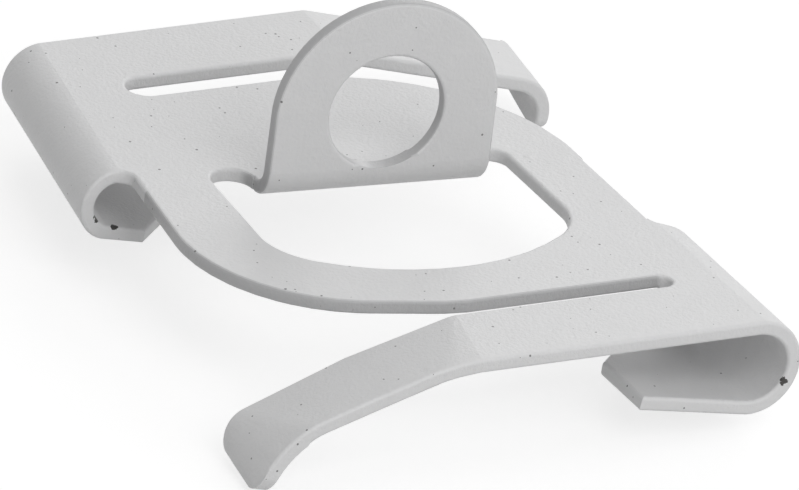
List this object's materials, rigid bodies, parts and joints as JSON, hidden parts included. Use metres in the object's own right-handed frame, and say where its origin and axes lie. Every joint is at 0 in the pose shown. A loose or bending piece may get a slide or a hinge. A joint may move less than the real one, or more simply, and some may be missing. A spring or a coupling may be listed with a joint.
{
  "type": "ceiling bar clip",
  "caption": "Twist-on ceiling bar clip folded from white painted sheet steel, with rolled hooks, springy arms and an upright lug with a round hole.",
  "frame": {"origin": "the point the two spring arms turn about, on the underside of the plate, which seats on the bar's flange", "axes": "+X along the spring arms, +Y across them to the back arm, +Z out of the plate towards the tip of the lug"},
  "size_m": [0.0322, 0.0354, 0.0151],
  "materials": {
    "painted_sheet": "satin white paint with a fine orange-peel texture"
  },
  "bodies": {
    "root": {"ceiling_bar_clip": "painted_sheet"}
  },
  "joints": []
}
